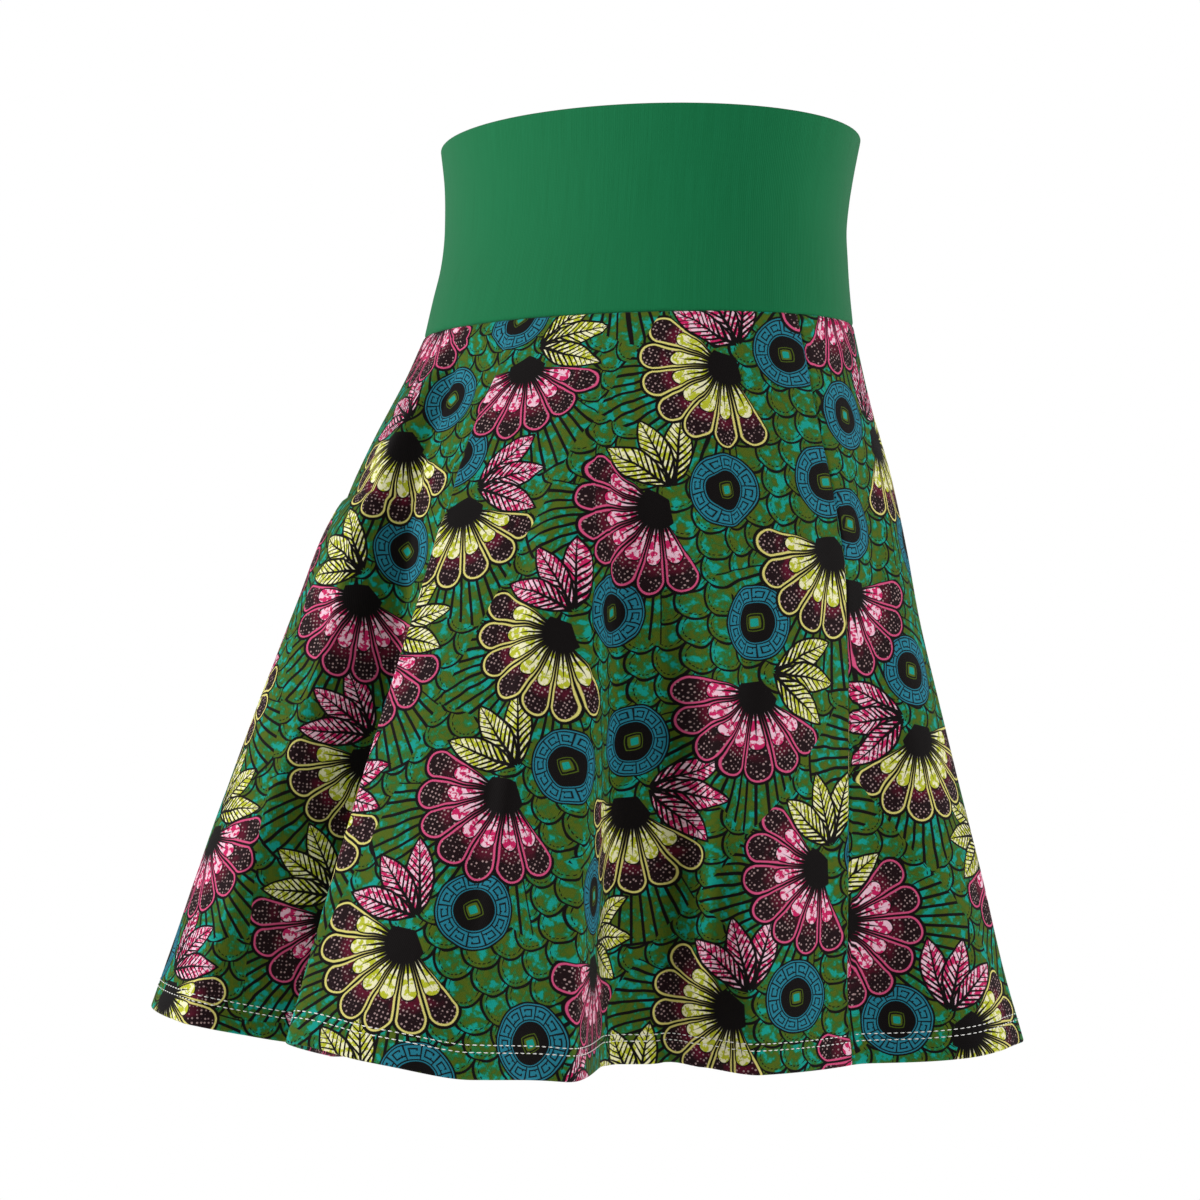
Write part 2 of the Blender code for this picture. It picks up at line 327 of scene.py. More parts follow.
def outward(points):
    """Unit normals of a grid whose columns run round the body and whose rows run down it."""
    normal = np.cross(np.gradient(points, axis=0), np.gradient(points, axis=1))
    return normal / np.linalg.norm(normal, axis=-1, keepdims=True)


def lengths_along(points):
    """Distance of each point of a row from the row's first point."""
    steps = np.linalg.norm(np.diff(points, axis=-2), axis=-1)
    return np.concatenate([np.zeros(steps.shape[:-1] + (1,)), np.cumsum(steps, axis=-1)], axis=-1)


def from_nearer_end(along):
    """Distance of each point of each row from the nearer end of its row."""
    return np.minimum(along, along[:, -1:] - along)


def points_along(table, along, wanted):
    """Points at the wanted distances along a row of points."""
    return np.stack([np.interp(wanted, along, column) for column in table.T], axis=-1)


def roll_in(distance):
    """How far an edge has rolled inwards at this distance from its seam: a quarter round."""
    flatness = 1 - np.clip(distance / SEAM_ROLL, 0, 1)
    return ROLL_DEPTH * (1 - np.sqrt(1 - flatness**2))


def bent_over(cloth, normals, bend, turns):
    """Rows that go on from the last row of the cloth, inwards round a bend of this radius."""
    onwards = cloth[-1] - cloth[-2]
    onwards /= np.linalg.norm(onwards, axis=-1, keepdims=True)
    inwards = -normals[-1]
    return [cloth[-1] + inwards * bend * (1 - cos(turn)) + onwards * bend * sin(turn) for turn in turns]


print("Halfway over its roll, a seam's edge is %.5f m in" % roll_in(SEAM_ROLL / 2))

# %% The stitched and turned-up hem
HEM_BEND = 0.00075
BEND_STEPS = 8
TURN_UP_ROWS = 8
STITCH_ROWS = (0.0115, 0.0148)
STITCH_PULL = 0.00022
STITCH_PULL_WIDE = 0.0009
TURN_UP_MARK = 0.00018
TURN_UP_MARK_SOFT = 0.002
PUCKER_MEAN = 0.6
PUCKER = 0.25
PUCKER_WAVES = ((0.0031, 0.0), (0.0053, 1.7))


def stitched_in(along, up):
    """How far the hem's stitches pull the cloth in, this far along it and this far up from the fold."""
    pull = sum(np.exp(-(((up - row) / STITCH_PULL_WIDE) ** 2)) for row in STITCH_ROWS)
    waves = (PUCKER * np.sin(along / length + phase) for length, phase in PUCKER_WAVES)
    pucker = sum(waves, start=PUCKER_MEAN)
    mark = TURN_UP_MARK * ease_in((up - HEM_TURN_UP) / TURN_UP_MARK_SOFT)
    return STITCH_PULL * pull * pucker + mark * pucker


def panel_shell_points(face):
    """Middle of the cloth's thickness, from the waist seam, round the hem's fold and up inside it."""
    per_step = FINE_STEPS / CLOTH_LENGTH
    body = edge_and_middle(CLOTH_LENGTH - HEM_ZONE, BODY_ROWS, SEAM_ROLL)[: -len(ROLL_SHARES)]
    hem = np.linspace(CLOTH_LENGTH - HEM_ZONE, CLOTH_LENGTH - HEM_BEND, HEM_ROWS)
    downs = np.concatenate([body, hem])
    outer = rows_at(face, downs * per_step)
    normals = outward(outer)
    along = lengths_along(outer)
    inwards = roll_in(from_nearer_end(along)) + roll_in(downs)[:, None] + CLOTH / 2
    inwards += stitched_in(along, CLOTH_LENGTH - downs[:, None])
    outer = outer - normals * inwards[..., None]

    turns = np.linspace(0, pi, BEND_STEPS)[1:]
    bend = bent_over(outer, normals, HEM_BEND, turns)
    ups = np.linspace(2 * HEM_BEND, HEM_TURN_UP, TURN_UP_ROWS)
    inside = rows_at(face, (CLOTH_LENGTH - HEM_BEND - ups) * per_step)
    depth = CLOTH / 2 + 2 * HEM_BEND + roll_in(from_nearer_end(lengths_along(inside)))
    inside = inside - outward(inside[::-1])[::-1] * depth[..., None]
    bend_downs = downs[-1] + HEM_BEND * turns
    return np.concatenate([outer, bend, inside]), np.concatenate([downs, bend_downs, bend_downs[-1] + ups])


print("Two stitch rows,", STITCH_ROWS, "m up from the fold, on a turn-up of", HEM_TURN_UP, "m")

# %% [markdown]
# ## Laying the cloth flat
# A print runs straight across the bolt, but a flared panel is a piece of a ring, so the print leans more
# and more towards the side seams. To place it as on the real cloth, each panel is laid flat again: the
# guess is a sector of a ring, and every thread of a coarse net then pulls or pushes until it has its own
# length back. The result is the UV map, in metres of flat cloth, and it gives the size of the cut as well.

# %% A net of threads
NET_COLUMNS = 6
NET_ROWS = 4
NET_ROUNDS = 500
NET_HASTE = 1.4
PAIRS = (
    (np.s_[:, :-1], np.s_[:, 1:]),
    (np.s_[:-1, :], np.s_[1:, :]),
    (np.s_[:-1, :-1], np.s_[1:, 1:]),
    (np.s_[:-1, 1:], np.s_[1:, :-1]),
)


def relaxed(net, flat):
    """The flat net after its threads have pulled it to the lengths they have in space."""
    lengths = [np.linalg.norm(net[b] - net[a], axis=-1) for a, b in PAIRS]
    for _ in range(NET_ROUNDS):
        move = np.zeros_like(flat)
        links = np.zeros(flat.shape[:-1])
        for (a, b), length in zip(PAIRS, lengths):
            gap = flat[b] - flat[a]
            pull = 0.5 * gap * (1 - length / np.linalg.norm(gap, axis=-1))[..., None]
            move[a] += pull
            move[b] -= pull
            links[a] += 1
            links[b] += 1
        flat = flat + NET_HASTE * move / links[..., None]
    return flat


print("Each cell of the net is held by", len(PAIRS), "kinds of thread, over", NET_ROUNDS, "rounds")

# %% Laid flat and measured
def laid_flat(points, downs):
    """Flat places, in metres, of a panel's grid: x across the middle of the panel and y up it."""
    columns = np.append(np.arange(0, points.shape[1] - 1, NET_COLUMNS), points.shape[1] - 1)
    count = int(np.searchsorted(downs, CLOTH_LENGTH - HEM_BEND, side="right"))
    rows = np.append(np.arange(0, count - 1, NET_ROWS), count - 1)
    net = points[np.ix_(rows, columns)]
    along = lengths_along(net)
    fanning = np.polyfit(downs[rows], along[:, -1], 1)
    angle = (along / along[:, -1:] - 0.5) * fanning[0]
    radius = (fanning[1] / fanning[0] + downs[rows])[:, None]
    flat = relaxed(net, np.stack([radius * np.sin(angle), -radius * np.cos(angle)], axis=-1))

    middle = len(columns) // 2
    spine = flat[-1, middle] - flat[0, middle]
    turn = atan2(spine[0], -spine[1])
    spin = np.array([[cos(turn), sin(turn)], [-sin(turn), cos(turn)]])
    flat = (flat - flat[0, middle]) @ spin.T

    every_column = np.arange(points.shape[1])
    wide = np.stack([points_along(row, columns, every_column) for row in flat])
    known = np.append(downs[rows], downs[-1])
    steps = np.diff(known)
    past_hem = wide[-1] + (wide[-1] - wide[-2]) * steps[-1] / steps[-2]
    wide = np.concatenate([wide, past_hem[None]])
    return rows_at(wide, np.interp(downs, known, np.arange(len(known))))


def cut_size(flat):
    """Width, length and area of a flat grid of cloth."""
    width, length = flat.reshape(-1, 2).max(axis=0) - flat.reshape(-1, 2).min(axis=0)
    rim = np.concatenate([flat[0], flat[:, -1], flat[-1, ::-1], flat[::-1, 0]])
    x, y = rim[:, 0], rim[:, 1]
    area = 0.5 * abs(np.sum(x * np.roll(y, -1) - y * np.roll(x, -1)))
    return float(width), float(length), float(area)


panel_points, panel_cuts = {}, {}
for name, face in panel_faces.items():
    panel_points[name], downs = panel_shell_points(face)
    panel_cuts[name] = laid_flat(panel_points[name], downs)
    print(name, "cut: %.3f m wide, %.3f m long, %.4f m2" % cut_size(panel_cuts[name]))

# %% [markdown]
# ## The waistband
# The band is one strip, twice as wide as it looks, folded lengthwise so that both cut edges meet at the
# waist seam and the fold is the top edge. Its section is that of a folded strip: up outside, round a
# tight bend and down inside. Its ends meet in a seam at the wearer's left side.

# %% Waistband points
BAND_KNIT = 0.0009
BAND_BEND = 0.00065
BAND_BEND_STEPS = 10
BAND_COLUMNS = 250
BAND_ROWS = 56


def band_face(heights):
    """The outer face of the waistband at these heights above the narrowest ring, once round."""
    around = 2 * pi * 0.5 * (NARROWEST.half_x + NARROWEST.half_y)
    azimuth = -90 + 360 * edge_and_middle(around, BAND_COLUMNS, SEAM_ROLL) / around
    heights = np.asarray(heights)[:, None]
    centre_y, half_x, half_y = ellipse_at(WAIST_RINGS, heights)
    x, y = ellipse_point(azimuth[None, :], centre_y, half_x, half_y, 0)
    risen = (heights - WAIST_SEAM) / (WAISTBAND_TOP - WAIST_SEAM)
    z = heights + TOP_TILT * risen * (y - centre_y)
    return np.stack([x, y, z], axis=-1)


def band_points():
    """Middle of the knit, up outside, over the fold and down inside, and the strip's flat cut."""
    top = WAISTBAND_TOP - BAND_BEND - BAND_KNIT / 2
    reach = top - WAIST_SEAM
    rises = edge_and_middle(reach + SEAM_ROLL, BAND_ROWS, SEAM_ROLL)[: -len(ROLL_SHARES)]
    rises = np.append(rises, reach)
    outer = band_face(WAIST_SEAM + rises)[::-1]
    normals = outward(outer)[::-1]
    outer = outer[::-1]
    along = lengths_along(outer)
    depth = BAND_KNIT / 2 + roll_in(from_nearer_end(along)) + roll_in(rises)[:, None]
    outside = outer - normals * depth[..., None]
    inside = outer - normals * (depth + 2 * BAND_BEND - 0.5 * roll_in(rises)[:, None])[..., None]

    bend = bent_over(outside, normals, BAND_BEND, np.linspace(0, pi, BAND_BEND_STEPS)[1:-1])
    points = np.concatenate([outside, bend, inside[::-1]])
    up_the_cut = lengths_along(points.transpose(1, 0, 2)).mean(axis=0)
    flat = np.stack(np.broadcast_arrays(along[len(along) // 2][None, :], up_the_cut[:, None]), axis=-1)
    return points[::-1], flat[::-1]


waistband_points, waistband_cut = band_points()
print("waistband cut: %.3f m long, %.3f m wide, %.4f m2" % cut_size(waistband_cut))

# %% [markdown]
# ## From points to cloth
# Each piece starts as a flat grid from `create_grid`. Its vertices move to their points, its flat cut
# becomes the UV map, and Solidify gives the cloth its thickness, half to each side, with a second
# material for the wrong side.

# %% Laying a grid
def in_scene(name, data):
    """A new object at the origin, in the scene."""
    made = bpy.data.objects.new(name, data)
    bpy.context.scene.collection.objects.link(made)
    return made


def cloth_piece(name, points, cut, wall, right_side, wrong_side):
    """A grid of cloth on the points, thickened to the wall, with its cut as UV map."""
    rows, columns = points.shape[0] - 1, points.shape[1] - 1
    grid = bmesh.new()
    bmesh.ops.create_grid(grid, x_segments=columns, y_segments=rows, size=1)
    mesh = bpy.data.meshes.new(name)
    grid.to_mesh(mesh)
    grid.free()

    places = np.empty(len(mesh.vertices) * 3)
    mesh.vertices.foreach_get("co", places)
    places = places.reshape(-1, 3)
    column = np.rint((places[:, 0] + 1) / 2 * columns).astype(int)
    row = np.rint((1 - places[:, 1]) / 2 * rows).astype(int)
    mesh.vertices.foreach_set("co", points[row, column].ravel())

    corner = np.empty(len(mesh.loops), int)
    mesh.loops.foreach_get("vertex_index", corner)
    layer = mesh.uv_layers.new(name="cut")
    layer.data.foreach_set("uv", cut[row, column][corner].ravel())
    mesh.shade_smooth()
    mesh.update()
    mesh.materials.append(right_side)
    mesh.materials.append(wrong_side)

    piece = in_scene(name, mesh)
    thicken = piece.modifiers.new("wall", "SOLIDIFY")
    thicken.thickness = wall
    thicken.offset = 0
    thicken.use_even_offset = True
    thicken.material_offset = 1
    print(name, "has", len(mesh.polygons), "faces before it is thickened")
    return piece


# %% [markdown]
# ## Shader maths
# A printed cloth is easiest to describe with numbers: how far is this point from the edge of a petal, and
# which petal is it? `Shade` wraps one socket of a node tree. Arithmetic on it adds Math nodes, so a
# pattern reads as the formula it is. `node` adds any other node, its settings first.

# %% The Shade class
class Shade:
    """A number or colour that changes over the cloth: one output socket of a material's node tree."""

    def __init__(self, tree, socket=None):
        self.tree = tree
        self.socket = socket

    def node(self, kind, settings=None, inputs=None, output=0):
        """The output of a new node of this kind."""
        made = self.tree.nodes.new("ShaderNode" + kind)
        for name, value in (settings or {}).items():
            setattr(made, name, value)
        for place, value in (inputs or {}).items():
            if isinstance(value, Shade):
                self.tree.links.new(value.socket, made.inputs[place])
            else:
                made.inputs[place].default_value = value
        return Shade(self.tree, made.outputs[output])

    def maths(self, operation, *values, clamp=False):
        settings = {"operation": operation, "use_clamp": clamp}
        return self.node("Math", settings, dict(enumerate(values)))

    def __add__(self, other):
        return self.maths("ADD", self, other)

    def __sub__(self, other):
        return self.maths("SUBTRACT", self, other)

    def __rsub__(self, other):
        return self.maths("SUBTRACT", other, self)

    def __mul__(self, other):
        return self.maths("MULTIPLY", self, other)

    def __mod__(self, other):
        return self.maths("FLOORED_MODULO", self, other)

    def __abs__(self):
        return self.maths("ABSOLUTE", self)

    def floor(self):
        return self.maths("FLOOR", self)

    def swing(self, period):
        """This value wrapped to between minus and plus half a period."""
        return self.maths("WRAP", self, period / 2, -period / 2)

    def under(self, limit, soft=0.3):
        """1 where this value is under the limit and 0 where it is over, with an edge this soft."""
        if isinstance(limit, Shade):
            return self.maths("MULTIPLY_ADD", limit - self, 1 / soft, 0.5, clamp=True)
        return self.maths("MULTIPLY_ADD", self, -1 / soft, limit / soft + 0.5, clamp=True)

    def over(self, limit, soft=0.3):
        return self.maths("MULTIPLY_ADD", self, 1 / soft, 0.5 - limit / soft, clamp=True)

    def blend(self, low, high):
        """The low colour where this mask is 0 and the high colour where it is 1."""
        # A Mix node's sockets 6 and 7 and its output 2 are the ones for colours.
        return self.node("Mix", {"data_type": "RGBA"}, {0: self, 6: low, 7: high}, output=2)

    def part(self, index):
        """x or y of a place."""
        return self.node("SeparateXYZ", None, {0: self}, index)

    def noise(self, scale, detail=2.0, roughness=0.5):
        """Soft random blots over a place, so many of them to a metre."""
        inputs = {"Vector": self, "Scale": scale, "Detail": detail, "Roughness": roughness}
        return self.node("TexNoise", {"noise_dimensions": "3D"}, inputs)


print("A Shade's own methods:", *(name for name in vars(Shade) if name[0] != "_"))

# %% Dyes
def dye(code):
    """A colour from a dyer's card, written as six hexadecimal digits, as the shader's linear values."""
    parts = [int(code[i : i + 2], 16) / 255 for i in (0, 2, 4)]
    return (*(p / 12.92 if p <= 0.04045 else ((p + 0.055) / 1.055) ** 2.4 for p in parts), 1)


INK = dye("0c0808")
print("Ink black, linear:", *(round(c, 4) for c in INK[:3]))

# %% [markdown]
# ## The print's palette and repeat
# The cloth is printed in the manner of a wax resist: a mottled green ground, drawn over with black scales
# and rays, carries yellow and pink half blossoms with dark petal tips, blue discs and leaf sprays. One
# repeat holds a blossom, a disc and a spray. The columns of repeats are staggered by half a repeat, and
# every other column is mirrored. Lengths in the print are in its drawing unit, 1.08 mm of cloth.

# %% Palette
TIP_BROWN, TIP_WINE = dye("1c0c10"), dye("560c24")
SEED_CREAM = dye("a08684")
PINK, PINK_PALE = dye("c3205c"), dye("ecc0d0")
YELLOW, YELLOW_PALE = dye("b4b92c"), dye("e9e5ba")
EDGE_PINK, EDGE_YELLOW = dye("cf4f7a"), dye("d6cd74")
BLUE = dye("23788c")
TEAL, GREEN, OLIVE, MOSS = dye("109486"), dye("20703c"), dye("4c5e14"), dye("355c1c")
print("The blue of the discs, linear:", *(round(c, 3) for c in BLUE[:3]))

# %% Repeat
PRINT_UNIT = 0.00108
REPEAT_WIDE = 88.0
REPEAT_HIGH = 76.0
ZIGZAG = 5.0


def hypot(x, y):
    return x.maths("SQRT", x * x + y * y)


def either(a, b):
    return a.maths("MAXIMUM", a, b)


def turned(x, y, angle):
    """x and y measured along and across a direction, in degrees."""
    c, s = cos(radians(angle)), sin(radians(angle))
    return x * c + y * s, y * c - x * s


def repeat_place(u, v, shift_y):
    """Place inside one repeat, x and y from its middle, and 0 or 1 for its colourway."""
    across = u * (1 / REPEAT_WIDE)
    column = across.floor()
    odd = column % 2
    up = (v - shift_y) * (1 / REPEAT_HIGH) + odd * 0.5
    row = up.floor()
    x = (across - column - 0.5) * REPEAT_WIDE * (1 - odd * 2) + ((row % 2) * 2 - 1) * ZIGZAG
    y = (up - row - 0.5) * REPEAT_HIGH
    return x, y, ((column * 0.5).floor() + row) % 2


repeat_size = REPEAT_WIDE * PRINT_UNIT, REPEAT_HIGH * PRINT_UNIT
print("One repeat of the print is %.3f m wide and %.3f m high" % repeat_size)

# %% [markdown]
# ## Petals, leaves, scales and keys
# Each motif is a distance to an edge, negative inside. A petal is a wedge from the blossom's heart that
# ends in a round tip. Folding the bearing back to one petal draws them all at once.

# %% Petals, leaves and scales
def petal_edge(reach, turn, centre, half_width):
    """Distance to the edge of a petal whose tip is a circle at this centre; turn is from its midline."""
    down = reach * turn.maths("COSINE", turn)
    aside = reach * turn.maths("SINE", turn)
    beyond = either(down - centre, 0)
    taper = down.maths("MINIMUM", down * (half_width / centre), half_width)
    return hypot(beyond, aside) - taper


def leaf_edge(x, y, angle, start, length, half_width):
    """Distance to the edge of a pointed leaf, and the place along and across it."""
    along, across = turned(x, y, angle)
    share = (along - start) * (1 / length)
    bow = share * (1 - share) * (4 * half_width)
    return abs(across) - bow, along, abs(across)


def scale_edge(u, v, pitch):
    """Distance to the arc of the overlapping scale under this point, and its reach and side place."""
    radius = pitch / 2
    tier = v * (1 / radius)
    row = tier.maths("CEIL", tier)
    aside = (u + (row % 2) * radius).swing(pitch)
    reach = hypot(aside, (row - tier) * radius)
    return abs(reach - radius), reach, aside


print("Each edge is given in drawing units of", PRINT_UNIT, "m")

# %% Keys
KEY_LINE = 0.3
KEY_HOOK = 0.45
KEY_GAP = 0.55
KEY_STEM_FROM = 0.4


def fret(reach, bearing, middle, half_width, keys):
    """1 on the lines of a ring of square keys: a border, and a hook inside each key."""
    key_wide = 2 * pi * middle / keys
    along = (bearing * middle).swing(key_wide) * (2 * half_width / key_wide)
    across = reach - middle
    square = either(abs(along), abs(across))
    border = abs(square - half_width).under(KEY_LINE)
    gap = along.over(0) * abs(across).under(KEY_GAP)
    hook = abs(square - KEY_HOOK * half_width).under(KEY_LINE) * (1 - gap)
    stem = abs(across + KEY_HOOK * half_width).under(KEY_LINE) * along.over(KEY_STEM_FROM * half_width)
    return either(border, either(hook, stem))


print("The lines of a key are", 2 * KEY_LINE * PRINT_UNIT, "m thick")

# %% [markdown]
# ## The layers of the print
# The layers go on as in the print works: first the ground with its scales and rays, then sprays and
# discs, and the blossoms last. Sizes of motifs are in drawing units, and the scale of a mottle says how
# many of its blots there are in a metre of cloth.

# %% Ground
BLOTS, DRIFTS = 190, 45
BLOT_SHARE = 0.8
GROUND_DYES = ((0.455, 0.07, MOSS), (0.505, 0.05, GREEN), (0.56, 0.05, TEAL))
SCALE_PITCH, SCALE_LINE = 17.5, 0.62
DASHES_AT, DASH_LINE, DASH_PITCH = 6.7, 0.24, 1.7
RAYS_FROM, RAYS_TO = 30, 64
RAY_SPREAD, RAY_STEP = radians(57), radians(5.7)
RAY_LINE, RIM_LINE = 0.72, 0.7
HARD_EDGE = 0.01


def ground_layer(u, v, cut, reach, bearing):
    """Mottled greens with black scales, and a sheaf of black rays ahead of each blossom."""
    blot = cut.noise(BLOTS, 3.0, 0.55)
    drift = cut.noise(DRIFTS, 1.0)
    level = blot * BLOT_SHARE + drift * (1 - BLOT_SHARE)
    colour = OLIVE
    for limit, soft, tint in GROUND_DYES:
        colour = level.over(limit, soft).blend(colour, tint)
    arc, scale_reach, aside = scale_edge(u, v, SCALE_PITCH)
    dash = abs(aside.swing(DASH_PITCH)).under(0.5, 0.2)
    scales = either(arc.under(SCALE_LINE), abs(scale_reach - DASHES_AT).under(DASH_LINE, 0.25) * dash)
    spread = abs(bearing).under(RAY_SPREAD, HARD_EDGE)
    sheaf = spread * reach.under(RAYS_TO) * reach.over(RAYS_FROM)
    ray = abs(bearing.swing(RAY_STEP) * reach).under(RAY_LINE)
    rim = abs(reach - RAYS_TO).under(RIM_LINE) * spread
    lines = either(scales * (1 - sheaf) + ray * sheaf, rim)
    return lines.blend(colour, INK)


print("Each sheaf has", round(2 * RAY_SPREAD / RAY_STEP), "rays")

# %% Discs
DISC_PLACE = (-20.0, 3.0)
DISC_EDGE, DISC_BLUE, DISC_EYE = 17.2, 16.4, 8.9
FRET_MIDDLE, FRET_HALF_WIDE, FRET_CLIP, FRET_KEYS = 12.6, 3.0, 3.4, 12
STAR_BOW = 5.2
STAR_HALO, STAR_OLIVE, STAR_TEAL = 11.1, 10.1, 9.1
HALO_LINE, HALO_CLIP = 0.18, 7.9


def disc_layer(base, x, y):
    """A blue disc with a fretted ring and a star in its black middle."""
    x, y = x - DISC_PLACE[0], y - DISC_PLACE[1]
    reach = hypot(x, y)
    bearing = reach.maths("ARCTAN2", y, x)
    colour = reach.under(DISC_EDGE).blend(base, INK)
    colour = reach.under(DISC_BLUE).blend(colour, BLUE)
    keys = fret(reach, bearing, FRET_MIDDLE, FRET_HALF_WIDE, FRET_KEYS)
    colour = (keys * abs(reach - FRET_MIDDLE).under(FRET_CLIP)).blend(colour, INK)
    colour = reach.under(DISC_EYE).blend(colour, INK)
    star = hypot(abs(x) + STAR_BOW, abs(y) + STAR_BOW)
    halo = abs(star - STAR_HALO).under(HALO_LINE) * reach.under(HALO_CLIP)
    colour = halo.blend(colour, OLIVE)
    colour = star.under(STAR_OLIVE).blend(colour, OLIVE)
    return star.under(STAR_TEAL).blend(colour, TEAL)


print("A disc is", round(2 * DISC_EDGE * PRINT_UNIT, 4), "m wide, with", FRET_KEYS, "keys")

# %% Sprays
LEAF_ANGLES = (62, 32, 0)
LEAF_START, LEAF_LONG, LEAF_HALF_WIDE = 3, 33, 6.0
LEAF_OUTLINE, LEAF_FILL = 1.0, -0.15
STALK = (-1, -10)
RIB_PITCH, RIB_LEAN, RIB_LINE, RIB_TAPER = 3.2, 1.2, 1.25, 0.03
MIDRIB_LINE, MIDRIB_TAPER = 0.95, 0.02


def spray_layer(colour, x, y, tint, pale, mottle):
    """Three leaves that fan out beside the disc, ribbed with black from the stalk."""
    x, y = x - STALK[0], y - STALK[1]
    for angle in LEAF_ANGLES:
        edge, along, across = leaf_edge(x, y, angle, LEAF_START, LEAF_LONG, LEAF_HALF_WIDE)
        rib = abs((along - across * RIB_LEAN).swing(RIB_PITCH)).under(RIB_LINE - along * RIB_TAPER)
        midrib = across.under(MIDRIB_LINE - along * MIDRIB_TAPER)
        colour = edge.under(LEAF_OUTLINE).blend(colour, INK)
        fill = either(rib, midrib).blend(mottle.blend(tint, pale), INK)
        colour = edge.under(LEAF_FILL).blend(colour, fill)
    return colour


print("A leaf is", round(LEAF_LONG * PRINT_UNIT, 4), "m long")

# %% Blossoms
PETALS = 7
PETAL_STEP = radians(24)
PETAL_TIP, PETAL_HALF_WIDE = 33.5, 7.0
PETAL_OUTLINE, PETAL_RIM, PETAL_DARK = 0.9, -0.45, -1.35
FLAME_TIP, FLAME_HALF_WIDE = 22.8, 3.4
FLAME_GLOW, FLAME_OUTLINE, FLAME_FILL = 4.0, 0.35, -0.25
VEINS, VEIN_LINE, VEIN_TAPER = 3, 1.32, 0.058
HEART_REACH, HEART_SLOPE, HEART_BACK = 9.6, 0.5, -6.0


def blossom_layer(base, along, across, reach, bearing, tints, mottle, depth, seeds):
    """Outlined petals with seeded dark tips, a mottled flame in each, and a black heart."""
    tint, pale, rim = tints
    turn = bearing.swing(PETAL_STEP)
    fan = abs(bearing).under(PETAL_STEP * PETALS / 2, HARD_EDGE)
    petal = petal_edge(reach, turn, PETAL_TIP, PETAL_HALF_WIDE)
    colour = (petal.under(PETAL_OUTLINE) * fan).blend(base, INK)
    colour = (petal.under(PETAL_RIM) * fan).blend(colour, rim)
    flame = petal_edge(reach, turn, FLAME_TIP, FLAME_HALF_WIDE)
    dark = (flame.under(FLAME_GLOW, FLAME_GLOW) * depth).blend(TIP_BROWN, TIP_WINE)
    colour = (petal.under(PETAL_DARK) * fan).blend(colour, seeds.blend(dark, SEED_CREAM))

    colour = (flame.under(FLAME_OUTLINE) * fan).blend(colour, INK)
    vein = abs(bearing.swing(PETAL_STEP / VEINS) * reach).under(VEIN_LINE - reach * VEIN_TAPER)
    fill = vein.blend(mottle.blend(tint, pale), INK)
    colour = (flame.under(FLAME_FILL) * fan).blend(colour, fill)
    heart = reach.under(HEART_REACH) * (along - abs(across) * HEART_SLOPE).over(HEART_BACK)
    return heart.blend(colour, INK)


print("A blossom has", PETALS, "petals")

# %% The whole print
BLOSSOM_TILT = 18
BLOSSOM_UP = 13
SPRAY_SHIFT = 34
WAVERS, WAVER = 60, 2.4
MOTTLES, DEPTHS = 330, 90
SEED_CELLS, SEED_SCATTER, SEED_WIDE = 500, 0.35, 0.25


def printed_colour(cut):
    """The colour of the printed side, at this place on the cloth's flat cut."""
    drawn = cut.noise(WAVERS, 1.0) - 0.5
    u = cut.part(0) * (1 / PRINT_UNIT) + drawn * WAVER
    v = cut.part(1) * (1 / PRINT_UNIT) - drawn * WAVER
    mottle = cut.noise(MOTTLES, roughness=0.6).over(0.5, 0.06)
    depth = cut.noise(DEPTHS).over(0.47, 0.15)
    cells = {"Vector": cut, "Scale": SEED_CELLS, "Randomness": SEED_SCATTER}
    seeds = cut.node("TexVoronoi", {"feature": "F1"}, cells).under(SEED_WIDE, 0.12)

    x, y, rose = repeat_place(u, v, 0)
    along, across = turned(x, y - BLOSSOM_UP, BLOSSOM_TILT - 90)
    reach = hypot(along, across)
    bearing = reach.maths("ARCTAN2", across, along)
    colour = ground_layer(u, v, cut, reach, bearing)
    spray_x, spray_y, spray_rose = repeat_place(u, v, SPRAY_SHIFT)
    spray_tints = spray_rose.blend(PINK, YELLOW), spray_rose.blend(PINK_PALE, YELLOW_PALE)
    colour = spray_layer(colour, spray_x, spray_y, *spray_tints, mottle)
    colour = disc_layer(colour, spray_x, spray_y)
    dyes = (YELLOW, PINK), (YELLOW_PALE, PINK_PALE), (EDGE_YELLOW, EDGE_PINK)
    tints = [rose.blend(*pair) for pair in dyes]
    return blossom_layer(colour, along, across, reach, bearing, tints, mottle, depth, seeds)


print("The seeds in the petal tips are about", 1 / SEED_CELLS, "m apart")

# %% [markdown]
# ## Knit, thread and the wrong side
# Every cloth here is a fine jersey. Its wales are under a millimetre apart, so they show as a soft bump.
# The sheen of brushed fibres lightens the cloth where it turns away from the eye.

# %% A knit's finish
Knit = namedtuple("Knit", "roughness sheen wale course bump_depth")
SHEEN_ROUGHNESS = 0.45
KNIT_GLOSS = 0.08
RIB_SHARE = 0.7
BUMP_STRENGTH = 0.5


def set_sockets(node, values):
    """Gives the sockets of a node these fixed values."""
    for place, value in values.items():
        node.inputs[place].default_value = value


